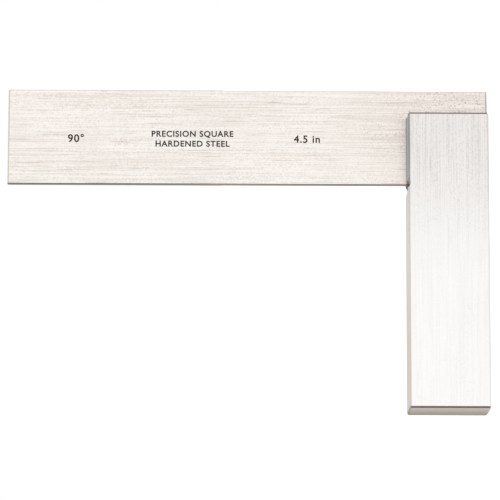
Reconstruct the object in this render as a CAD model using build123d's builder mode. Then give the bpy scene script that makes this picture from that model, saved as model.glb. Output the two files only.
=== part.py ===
from build123d import *

import os

# A precision try square: a thin hardened blade held in the slotted end of a solid stock.
#
# It stands on the outer face of its stock, as on a surface plate, with the blade upright.
# +Z runs up the blade, +X from the stock's free end to the blade's outer edge, and +Y from
# the marked side to the back. The origin is the middle of the footprint. Sizes are in mm.

# Driving sizes
REACH = 114.3  # the nominal 4 1/2 inches, from the stock's inner face to the blade's tip
BLADE_WIDTH = 27.4
BLADE_THICKNESS = 2.4
BLADE_PROUD = 7.6  # how far the blade's outer edge stands past the stock's slotted end
STOCK_LENGTH = 85.1
STOCK_WIDTH = 23.0
STOCK_THICKNESS = 15.9

# Broken edges
STOCK_BREAK = 0.5  # every edge of the bar
BLADE_END_BREAK = 0.45  # across both ends of the blade
BLADE_EDGE_BREAK = 0.12  # along the two lapped edges, which stay nearly sharp

# Burr relief, a round notch across the stock where its inner face meets the blade
RELIEF_RADIUS = 1.8
RELIEF_DEPTH = 0.64
RELIEF_OFFSET = 0.6  # from the blade's inner edge towards the stock's free end

# Dowels, pressed in from the back, ground flush there, and blind under the marked face
DOWEL_DIAMETER = 3.175
DOWEL_END_BREAK = 0.3
DOWEL_END_GAP = 0.3  # air left under each dowel
BLIND_WALL = 3.0  # steel left between a dowel hole and the marked face
PAIR_INSET = 5.2  # from the blade's inner edge to the pair of dowels
PAIR_SPACING = 11.5
SINGLE_INSET = 14.2  # from the blade's inner edge to the single dowel

# What follows from them
OVERALL_LENGTH = STOCK_LENGTH + BLADE_PROUD
BLADE_LENGTH = REACH + STOCK_WIDTH
BLADE_OUTER_X = OVERALL_LENGTH / 2
BLADE_INNER_X = BLADE_OUTER_X - BLADE_WIDTH
STOCK_FREE_X = -OVERALL_LENGTH / 2
HOLE_DEPTH = STOCK_THICKNESS - BLIND_WALL
DOWEL_PLACES = [
    (BLADE_INNER_X + PAIR_INSET, (STOCK_WIDTH - PAIR_SPACING) / 2),
    (BLADE_INNER_X + PAIR_INSET, (STOCK_WIDTH + PAIR_SPACING) / 2),
    (BLADE_INNER_X + SINGLE_INSET, STOCK_WIDTH / 2),
]

# Both planes have the row's X and Z as their own axes, and both look towards the marked side.
MIDDLE = Plane.XZ
BACK_FACE = Plane.XZ.offset(-STOCK_THICKNESS / 2)

os.makedirs("parts", exist_ok=True)

# The stock: a solid bar, slotted for the blade at one end
with BuildPart() as stock:
    with BuildSketch(MIDDLE):
        with Locations((STOCK_FREE_X, 0)):
            Rectangle(STOCK_LENGTH, STOCK_WIDTH, align=(Align.MIN, Align.MIN))
    extrude(amount=STOCK_THICKNESS / 2, both=True)
    chamfer(stock.edges(), length=STOCK_BREAK)
    # The slot is open at the bar's end and at its inner and outer faces.
    with BuildSketch(Plane.XY):
        with Locations((BLADE_INNER_X, 0)):
            Rectangle(BLADE_WIDTH, BLADE_THICKNESS, align=(Align.MIN, Align.CENTER))
    extrude(amount=STOCK_WIDTH, mode=Mode.SUBTRACT)
    with BuildSketch(MIDDLE):
        with Locations((BLADE_INNER_X - RELIEF_OFFSET, STOCK_WIDTH - RELIEF_DEPTH + RELIEF_RADIUS)):
            Circle(RELIEF_RADIUS)
    extrude(amount=STOCK_THICKNESS, both=True, mode=Mode.SUBTRACT)
    with BuildSketch(BACK_FACE):
        with Locations(DOWEL_PLACES):
            Circle(DOWEL_DIAMETER / 2)
    extrude(amount=HOLE_DEPTH, mode=Mode.SUBTRACT)

stock.part.label = "stock"
export_step(stock.part, "parts/stock.step")

# The blade: a plate that fills the slot and ends flush with the stock's outer face
with BuildPart() as blade:
    with BuildSketch(MIDDLE):
        with Locations((BLADE_INNER_X, 0)):
            Rectangle(BLADE_WIDTH, BLADE_LENGTH, align=(Align.MIN, Align.MIN))
    extrude(amount=BLADE_THICKNESS / 2, both=True)
    for direction, size in ((Axis.X, BLADE_END_BREAK), (Axis.Z, BLADE_EDGE_BREAK)):
        broad_faces = blade.faces().filter_by(Axis.Y)
        chamfer(broad_faces.edges().filter_by(direction), length=size)
    with BuildSketch(MIDDLE):
        with Locations(DOWEL_PLACES):
            Circle(DOWEL_DIAMETER / 2)
    extrude(amount=BLADE_THICKNESS, both=True, mode=Mode.SUBTRACT)

blade.part.label = "blade"
export_step(blade.part, "parts/blade.step")

# The dowels: they lock the blade in the stock
for number, place in enumerate(DOWEL_PLACES, start=1):
    with BuildPart() as dowel:
        with BuildSketch(BACK_FACE):
            with Locations(place):
                Circle(DOWEL_DIAMETER / 2)
        extrude(amount=HOLE_DEPTH - DOWEL_END_GAP)
        blind_end = dowel.faces().sort_by(Axis.Y)[0]
        chamfer(blind_end.edges(), length=DOWEL_END_BREAK)

    dowel.part.label = f"dowel_{number}"
    export_step(dowel.part, f"parts/dowel_{number}.step")
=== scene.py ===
from math import cos, pi, radians

import bpy
from mathutils import Matrix, Vector


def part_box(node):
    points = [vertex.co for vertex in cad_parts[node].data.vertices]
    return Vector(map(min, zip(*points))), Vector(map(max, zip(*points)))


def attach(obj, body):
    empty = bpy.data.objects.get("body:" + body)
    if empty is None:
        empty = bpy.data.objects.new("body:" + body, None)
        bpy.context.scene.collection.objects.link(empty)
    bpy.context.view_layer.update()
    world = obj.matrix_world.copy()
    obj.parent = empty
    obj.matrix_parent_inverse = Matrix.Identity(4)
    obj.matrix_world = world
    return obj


# A steel try square that stands on its stock. Everything is in metres, in the frame of the CAD:
# +Z up the blade, +X from the stock's free end to the blade's outer edge, -Y towards the marked side.
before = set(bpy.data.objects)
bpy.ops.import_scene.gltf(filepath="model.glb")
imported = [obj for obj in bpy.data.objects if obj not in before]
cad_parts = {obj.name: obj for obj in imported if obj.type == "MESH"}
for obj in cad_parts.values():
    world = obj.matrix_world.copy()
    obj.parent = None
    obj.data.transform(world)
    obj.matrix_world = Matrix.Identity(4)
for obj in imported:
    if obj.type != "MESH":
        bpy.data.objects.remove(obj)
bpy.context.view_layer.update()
MM = 0.001

stock_low, stock_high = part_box("stock")
blade_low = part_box("blade")[0]

# Camera: a long lens, a metre off and past the stock's free end, with the picture's top towards +X
CAMERA_PLACE = Vector((-190.5, -1000.0, 78.4)) * MM
CAMERA_AIM = Vector((0.0, 0.0, 67.9)) * MM
CAMERA_ROLL = 0.002  # radians
CAMERA_LENS = 257.0  # in mm, as is the sensor's width
CAMERA_SENSOR = 36.0

# Marks etched on the blade: the text, the piece's name, its height above the stock's outer face, and
# the height of its capitals
MARK_LINE_X = blade_low.x + 13.1 * MM
MARKS = [
    ("90°", "mark_angle", 117.8 * MM, 2.3 * MM),
    ("PRECISION SQUARE\nHARDENED STEEL", "mark_steel", 84.5 * MM, 1.75 * MM),
    ("4.5 in", "mark_length", 51.6 * MM, 2.2 * MM),
]
MARK_DEPTH = 0.004 * MM  # proud of the blade
MARK_WEIGHT = 0.07 * MM  # added all round the strokes
MARK_SPACING = 1.12  # between letters
MARK_LEADING = 1.20  # between lines
CAPITAL_SHARE = 0.73  # of the built-in font's size

# The burr relief in the stock, a round groove across its thickness
RELIEF_RADIUS = 1.8 * MM
RELIEF_DEPTH = 0.64 * MM
RELIEF_OFFSET = 0.6 * MM  # from the blade's inner edge towards the stock's free end
RELIEF_X = blade_low.x - RELIEF_OFFSET
RELIEF_Z = stock_high.z - RELIEF_DEPTH + RELIEF_RADIUS

# Widths of the broken edges
STOCK_BREAK = 0.5 * MM
BLADE_BREAK = 0.12 * MM  # along the blade
BLADE_END_BREAK = 0.45 * MM  # across its ends

# Colours of the steels: between the grain's lines, in them, and in scratches and pits
STOCK_LIGHT, STOCK_DARK = (0.89, 0.885, 0.88, 1), (0.735, 0.72, 0.705, 1)
BLADE_LIGHT, BLADE_DARK = (0.90, 0.86, 0.815, 1), (0.725, 0.67, 0.62, 1)
DOWEL_LIGHT, DOWEL_DARK = (0.78, 0.78, 0.78, 1), (0.68, 0.68, 0.68, 1)
STAIN = (0.34, 0.27, 0.23, 1)

# Colours of the etched marks, fresh and worn
ETCH_FRESH, ETCH_WORN = (0.010, 0.008, 0.007, 1), (0.06, 0.05, 0.044, 1)

# The studio as the square sees it: a dim room with large soft lights. Each light is the direction of
# its middle, the degrees from there to its bright part's edge and to its end, and its strength.
ROOM = 0.055
ROOM_TINT = (1.0, 0.86, 0.74, 1.0)
SOFT_LIGHTS = [
    ((-0.12, -1.00, 0.10), 42, 69, 1.03),  # in front
    ((0.00, 1.00, 0.00), 34, 74, 0.68),  # behind
    ((0.15, 0.00, 1.00), 35, 68, 0.70),  # overhead
    ((0.10, 0.00, -1.00), 40, 72, 0.86),  # thrown up by the floor
    ((1.00, 0.30, 0.00), 25, 60, 0.36),  # the wall past the blade
    ((-1.00, 0.45, 0.00), 12, 36, 0.50),  # the wall past the stock's free end
]

# A soft panel close in front of the stock's free end
PANEL_SIZE = (0.36, 0.50)
PANEL_PLACE = (-0.17, -0.30, 0.02)
PANEL_RADIANCE = 0.035

# The floor: half its side, its paint, and a glow that lifts it to white
FLOOR_REACH = 30.0
FLOOR_PAINT = 0.85
FLOOR_GLOW = 0.55


class Shader:
    """A few short words for building one node tree."""

    def __init__(self, tree):
        self.tree = tree
        self.tree.nodes.clear()

    def add(self, kind, links=None, **settings):
        """Adds a node, sets its properties, and links or sets its inputs by name or number."""
        made = self.tree.nodes.new(kind)
        for key, value in settings.items():
            setattr(made, key, value)
        for key, value in (links or {}).items():
            if isinstance(value, bpy.types.NodeSocket):
                self.tree.links.new(value, made.inputs[key])
            else:
                made.inputs[key].default_value = value
        return made

    def math(self, operation, first, second=0.0, clamp=False):
        made = self.add("ShaderNodeMath", {0: first, 1: second}, operation=operation, use_clamp=clamp)
        return made.outputs[0]

    def ramp(self, value, low, high, to_low=0.0, to_high=1.0):
        """Smoothly carries value from low..high to to_low..to_high."""
        made = self.add(
            "ShaderNodeMapRange",
            {"Value": value, "From Min": low, "From Max": high, "To Min": to_low, "To Max": to_high},
            interpolation_type="SMOOTHSTEP",
        )
        return made.outputs["Result"]

    def mix(self, factor, first, second):
        """Mixes two colours."""
        made = self.add("ShaderNodeMix", {0: factor, 6: first, 7: second}, data_type="RGBA")
        return made.outputs[2]

    def multiply(self, first, second):
        """Multiplies two colours."""
        links = {0: 1.0, 6: first, 7: second}
        return self.add("ShaderNodeMix", links, data_type="RGBA", blend_type="MULTIPLY").outputs[2]

    def split(self, vector):
        return self.add("ShaderNodeSeparateXYZ", {0: vector}).outputs[:]


def grey(value):
    return (value, value, value, 1.0)


def ground_steel(name, grain, light, dark, roughness, wear, zones=(), fade=None, rough_patch=None):
    """Hardened steel, surface ground along one axis ("X" or "Z"): fine lines, streaks, scratches, pits.

    Each zone is a function of the shader and the place on the surface. It gives a share from 0 to 1,
    and what the steel's colour is multiplied by there. fade gives how far the grain is polished out,
    and rough_patch how much more pitted the steel is. wear is the strength of scratches and pits.
    """
    material = bpy.data.materials.new(name)
    material.use_nodes = True
    s = Shader(material.node_tree)
    place = s.add("ShaderNodeTexCoord").outputs["Object"]
    axes = s.split(place)

    def stretched(across, along, offset, detail=2.0):
        """Noise drawn out along the grain, of a size across and along it. Each layer has its own offset."""
        scale = [1 / across] * 3
        scale["XYZ".index(grain)] = 1 / along
        start = (offset, offset * 2, offset * 3)
        moved = s.add("ShaderNodeMapping", {"Vector": place, "Location": start, "Scale": scale})
        noise = s.add("ShaderNodeTexNoise", {"Vector": moved.outputs[0], "Scale": 1.0, "Detail": detail})
        return noise.outputs["Fac"]

    # Layers of noise, each 0 to 1: the lines and broader bands of the grain, then what lies on top
    lines = stretched(0.19 * MM, 24 * MM, 3.1, detail=1.0)
    streaks = stretched(0.46 * MM, 70 * MM, 17.7, detail=1.0)
    bands = stretched(4.5 * MM, 130 * MM, 41.3)
    cloud = stretched(9 * MM, 14 * MM, 77.9, detail=3.0)
    scratches = s.ramp(stretched(0.26 * MM, 9 * MM, 131.0, detail=0.0), 0.69, 0.81)
    grit = stretched(0.34 * MM, 0.44 * MM, 211.0, detail=1.0)
    pitted = s.ramp(cloud, 0.42, 0.66, 0.10, 0.7)
    if rough_patch:
        pitted = s.math("ADD", pitted, rough_patch(s, *axes))
    pits = s.math("MULTIPLY", s.ramp(grit, 0.50, 0.70), pitted)

    # Colour: the grain between light and dark, then stained scratches and pits, then the zones, several of
    # which are painted shade
    tone = s.math("MULTIPLY", lines, 0.36)
    for layer, weight in ((streaks, 0.18), (grit, 0.36), (bands, 0.10)):
        tone = s.math("ADD", tone, s.math("MULTIPLY", layer, weight))
    if fade:
        faded = fade(s, *axes)
        dark = s.mix(faded, dark, light)
        scratches = s.math("MULTIPLY", scratches, s.math("SUBTRACT", 1.0, faded))
    body = s.mix(s.ramp(tone, 0.395, 0.55), dark, light)
    body = s.mix(s.math("MULTIPLY", scratches, 0.36 * wear), body, STAIN)
    body = s.mix(s.math("MULTIPLY", pits, 0.34 * wear), body, STAIN)
    for zone in zones:
        share, tint = zone(s, *axes)
        body = s.mix(share, body, s.multiply(body, tint))

    # Gloss and bump: dark grain and pits are rougher, and scratches and pits are sunk
    gloss = s.ramp(tone, 0.30, 0.70, roughness + 0.05, roughness - 0.05)
    gloss = s.math("ADD", gloss, s.math("MULTIPLY", pits, 0.12))
    height = s.math("ADD", lines, s.math("MULTIPLY", scratches, -0.8))
    height = s.math("ADD", height, s.math("MULTIPLY", pits, -1.0))
    bump = s.add("ShaderNodeBump", {"Strength": 0.35, "Distance": 0.004 * MM, "Height": height})
    steel = s.add(
        "ShaderNodeBsdfPrincipled",
        {"Base Color": body, "Metallic": 1.0, "Roughness": gloss, "Normal": bump.outputs[0]},
    )
    s.add("ShaderNodeOutputMaterial", {"Surface": steel.outputs[0]})
    return material


def relief(s, x, y, z):
    """Painted shade in the burr relief: near black inside the groove, darkest behind the blade's marked
    face, which shades it.
    """
    across = s.math("SUBTRACT", x, RELIEF_X)
    above = s.math("SUBTRACT", z, RELIEF_Z)
    away = s.math("SQRT", s.math("ADD", s.math("POWER", across, 2.0), s.math("POWER", above, 2.0)))
    inside = s.ramp(away, RELIEF_RADIUS + 0.05 * MM, RELIEF_RADIUS + 0.01 * MM)
    behind = s.ramp(y, -2.4 * MM, -0.8 * MM, 0.45, 1.0)
    return s.math("MULTIPLY", inside, behind), (0.05, 0.04, 0.033, 1)


def shade_beside_blade(s, x, y, z):
    """Painted shade on the stock's inner face beside the blade, a bluish darkening in the corner that the
    blade shades.
    """
    along = s.ramp(x, blade_low.x - 0.8 * MM, blade_low.x + 0.5 * MM)
    near = s.ramp(z, stock_high.z - STOCK_BREAK - 0.06 * MM, stock_high.z - STOCK_BREAK)
    return s.math("MULTIPLY", along, near), (0.54, 0.59, 0.65, 1)


def inner_face(s, x, y, z):
    """The stock's inner face, and half as much its broken edge, are tinted warmer and darker, more so
    towards the free end.
    """
    on_break = s.ramp(z, stock_high.z - STOCK_BREAK - 0.06 * MM, stock_high.z - STOCK_BREAK, 0.0, 0.5)
    on_face = s.ramp(z, stock_high.z - 0.03 * MM, stock_high.z - 0.01 * MM, 0.0, 0.5)
    darkening = s.ramp(x, 16 * MM, -30 * MM, 0.20, 1.0)
    return s.math("MULTIPLY", s.math("ADD", on_break, on_face), darkening), (0.88, 0.78, 0.69, 1)


def slotted_end_shade(s, x, y, z):
    """Painted shade: the slotted end of the stock is darker and warmer, as the light from that side is
    dimmer and warmer.
    """
    return s.ramp(x, -12 * MM, 34 * MM), (0.90, 0.875, 0.855, 1)


def free_end_shade(s, x, y, z):
    """Painted shade on the stock's free end face, browner and darker to the far side, for the shaded floor
    that it reflects.
    """
    end = s.ramp(x, stock_low.x + STOCK_BREAK - 0.10 * MM, stock_low.x + STOCK_BREAK - 0.16 * MM)
    darkening = s.mix(s.ramp(y, stock_low.y, stock_high.y), (0.75, 0.69, 0.61, 1), (0.375, 0.295, 0.22, 1))
    return end, darkening


def broken_edge(s, x, end, inward):
    """The broken edge round one end of the stock; inward is the way along X from that end."""
    inside = s.ramp(x, end + inward * STOCK_BREAK, end + inward * (STOCK_BREAK - 0.08 * MM))
    outside = s.ramp(x, end + inward * 0.01 * MM, end + inward * 0.05 * MM)
    return s.math("MULTIPLY", inside, outside)


def slotted_break_shade(s, x, y, z):
    """Painted shade on the broken edge round the slotted end, which faces the dark side of the studio."""
    return broken_edge(s, x, stock_high.x, -1), (0.47, 0.457, 0.446, 1)


def free_break(s, x, y, z):
    """The broken edge round the free end is a little darker than the faces."""
    return broken_edge(s, x, stock_low.x, 1), (0.74, 0.73, 0.72, 1)


def polished_end(s, x, y, z):
    """The grain fades towards the stock's free end."""
    return s.ramp(x, 30 * MM, -4 * MM, 0.0, 0.68)


def blade_foot_shade(s, x, y, z):
    """Painted shade: the blade's foot, by the stock, is a little darker and warmer."""
    return s.ramp(z, 46 * MM, 4 * MM), (0.975, 0.955, 0.945, 1)


def pitted_corner(s, x, y, z):
    """The blade's outer corner beyond the stock is finely pitted."""
    return s.math("MULTIPLY", s.ramp(z, 56 * MM, 14 * MM), s.ramp(x, 24 * MM, 42 * MM, 0.45, 1.3))


def blade_joint_shade(s, x, y, z):
    """Painted shade: a fine dark line on the blade where it leaves the stock, for the stock's reflection
    and shadow there.
    """
    above = s.ramp(z, stock_high.z + 0.55 * MM, stock_high.z + 0.05 * MM)
    beside = s.ramp(x, stock_high.x + 0.10 * MM, stock_high.x - 0.40 * MM)
    return s.math("MULTIPLY", above, beside), (0.55, 0.51, 0.48, 1)


def blade_inner_edge_shade(s, x, y, z):
    """Painted shade on the blade's inner edge, which faces the dark side of the studio: darker than its
    faces, and darkest towards the blade's free end.
    """
    low = s.ramp(x, blade_low.x + BLADE_BREAK + 0.01 * MM, blade_low.x + BLADE_BREAK - 0.03 * MM)
    darkening = s.mix(s.ramp(z, 72 * MM, 92 * MM), (0.42, 0.37, 0.33, 1), (0.27, 0.25, 0.25, 1))
    return low, darkening


def blade_end(s, x, y, z):
    """The broken edge across the blade's foot is darker."""
    foot = s.ramp(z, BLADE_END_BREAK + 0.05 * MM, BLADE_END_BREAK - 0.03 * MM)
    return foot, (0.66, 0.65, 0.64, 1)


def etched_black(name):
    """The dark oxide that an etching leaves: matt, slightly brown, a little worn."""
    material = bpy.data.materials.new(name)
    material.use_nodes = True
    s = Shader(material.node_tree)
    place = s.add("ShaderNodeTexCoord").outputs["Object"]
    noise = s.add("ShaderNodeTexNoise", {"Vector": place, "Scale": 2600.0, "Detail": 3.0}).outputs["Fac"]
    body = s.mix(s.ramp(noise, 0.35, 0.75), ETCH_FRESH, ETCH_WORN)
    etch = s.add(
        "ShaderNodeBsdfPrincipled",
        {
            "Base Color": body,
            "Metallic": 0.0,
            "Roughness": s.ramp(noise, 0.3, 0.7, 0.55, 0.8),
            "Specular IOR Level": 0.3,
        },
    )
    s.add("ShaderNodeOutputMaterial", {"Surface": etch.outputs[0]})
    return material


def mark(text, name, height_z, size, material):
    """Lettering on the blade's marked face, read with +X up, as a thin raised mesh.

    A bevel thickens the strokes, and their depth is then squeezed to the mark's own.
    """
    curve = bpy.data.curves.new(name, "FONT")
    curve.body = text
    curve.size = size / CAPITAL_SHARE
    curve.align_x = "CENTER"
    curve.align_y = "CENTER"
    curve.extrude = MARK_WEIGHT
    curve.bevel_depth = MARK_WEIGHT
    curve.bevel_resolution = 0
    curve.space_character = MARK_SPACING
    curve.space_line = MARK_LEADING
    curve.resolution_u = 6
    writing = bpy.data.objects.new(name + "_text", curve)
    bpy.context.scene.collection.objects.link(writing)
    bpy.context.view_layer.update()
    mesh = bpy.data.meshes.new_from_object(writing)
    bpy.data.objects.remove(writing)
    reading = Matrix(((0, 1, 0), (0, 0, -1), (-1, 0, 0))).to_4x4()
    where = Vector((MARK_LINE_X, blade_low.y, height_z))
    squeeze = Matrix.Diagonal((1, 1, MARK_DEPTH / (curve.extrude + curve.bevel_depth), 1))
    mesh.transform(Matrix.Translation(where) @ reading @ squeeze)
    mesh.name = name
    mesh.materials.clear()
    mesh.materials.append(material)
    piece = bpy.data.objects.new(name, mesh)
    bpy.context.scene.collection.objects.link(piece)
    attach(piece, "root")


def make_floor():
    """A large pale floor under the square."""
    mesh = bpy.data.meshes.new("floor")
    corners = [(x * FLOOR_REACH, y * FLOOR_REACH, 0) for x, y in ((-1, -1), (1, -1), (1, 1), (-1, 1))]
    mesh.from_pydata(corners, [], [(0, 1, 2, 3)])
    floor = bpy.data.objects.new("floor", mesh)
    bpy.context.scene.collection.objects.link(floor)
    material = bpy.data.materials.new("floor_white")
    material.use_nodes = True
    s = Shader(material.node_tree)
    paint = s.add("ShaderNodeBsdfDiffuse", {"Color": grey(FLOOR_PAINT)})
    glow = s.add("ShaderNodeEmission", {"Color": grey(1.0), "Strength": FLOOR_GLOW})
    both = s.add("ShaderNodeAddShader", {0: paint.outputs[0], 1: glow.outputs[0]})
    s.add("ShaderNodeOutputMaterial", {"Surface": both.outputs[0]})
    mesh.materials.append(material)
    floor.visible_glossy = False
    floor.visible_shadow = False


def make_studio():
    """White to the camera, and soft lights round the square for everything else."""
    world = bpy.data.worlds.new("studio")
    bpy.context.scene.world = world
    world.use_nodes = True
    s = Shader(world.node_tree)
    direction = s.add("ShaderNodeTexCoord").outputs["Generated"]
    level = ROOM
    for aim, bright, end, strength in SOFT_LIGHTS:
        facing = s.add(
            "ShaderNodeVectorMath",
            {0: direction, 1: Vector(aim).normalized()},
            operation="DOT_PRODUCT",
        ).outputs["Value"]
        light = s.ramp(facing, cos(radians(end)), cos(radians(bright)), 0.0, strength)
        level = s.math("ADD", light, level)
    tint = s.mix(s.ramp(level, ROOM, 0.9), ROOM_TINT, grey(1.0))
    lit = s.add("ShaderNodeBackground", {"Color": tint, "Strength": level})
    white = s.add("ShaderNodeBackground", {"Color": grey(1.0), "Strength": 1.0})
    seen = s.add("ShaderNodeLightPath").outputs["Is Camera Ray"]
    mixed = s.add("ShaderNodeMixShader", {0: seen, 1: lit.outputs[0], 2: white.outputs[0]})
    s.add("ShaderNodeOutputWorld", {"Surface": mixed.outputs[0]})


def make_panel():
    """A soft panel close in front of the stock's free end, which brightens that end of its face."""
    data = bpy.data.lights.new("panel", "AREA")
    data.shape = "RECTANGLE"
    data.size, data.size_y = PANEL_SIZE
    data.energy = PANEL_RADIANCE * pi * data.size * data.size_y
    panel = bpy.data.objects.new("panel", data)
    panel.location = PANEL_PLACE
    panel.rotation_euler = (radians(90), 0, 0)
    panel.visible_camera = False
    bpy.context.scene.collection.objects.link(panel)


def make_camera():
    """Looks at the middle of the square, with +X up in the picture."""
    data = bpy.data.cameras.new("camera")
    data.lens = CAMERA_LENS
    data.sensor_width = CAMERA_SENSOR
    data.clip_start, data.clip_end = 0.01, 100.0
    camera = bpy.data.objects.new("camera", data)
    bpy.context.scene.collection.objects.link(camera)
    back = (CAMERA_PLACE - CAMERA_AIM).normalized()
    right = Vector((1, 0, 0)).cross(back).normalized()
    up = back.cross(right)
    turn = Matrix((right, up, back)).transposed().to_4x4()
    camera.matrix_world = Matrix.Translation(CAMERA_PLACE) @ turn @ Matrix.Rotation(CAMERA_ROLL, 4, "Z")
    bpy.context.scene.camera = camera


def dress(node, material):
    """Gives a CAD node its finished material."""
    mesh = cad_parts[node].data
    mesh.materials.clear()
    mesh.materials.append(material)


make_camera()
make_studio()
make_panel()
make_floor()
bpy.context.scene.view_settings.view_transform = "Standard"

stock_steel = ground_steel(
    "stock_steel",
    grain="X",
    light=STOCK_LIGHT,
    dark=STOCK_DARK,
    roughness=0.34,
    wear=0.5,
    zones=[slotted_end_shade, inner_face, shade_beside_blade, free_end_shade, free_break, slotted_break_shade, relief],
    fade=polished_end,
)
blade_steel = ground_steel(
    "blade_steel",
    grain="Z",
    light=BLADE_LIGHT,
    dark=BLADE_DARK,
    roughness=0.34,
    wear=1.0,
    zones=[blade_foot_shade, blade_joint_shade, blade_inner_edge_shade, blade_end],
    rough_patch=pitted_corner,
)
dowel_steel = ground_steel(
    "dowel_steel", grain="X", light=DOWEL_LIGHT, dark=DOWEL_DARK, roughness=0.28, wear=0.5
)
dress("stock", stock_steel)
dress("blade", blade_steel)
for node in sorted(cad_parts):
    if node.startswith("dowel"):
        dress(node, dowel_steel)
ink = etched_black("etched_black")
for text, name, height_z, size in MARKS:
    mark(text, name, height_z, size, ink)
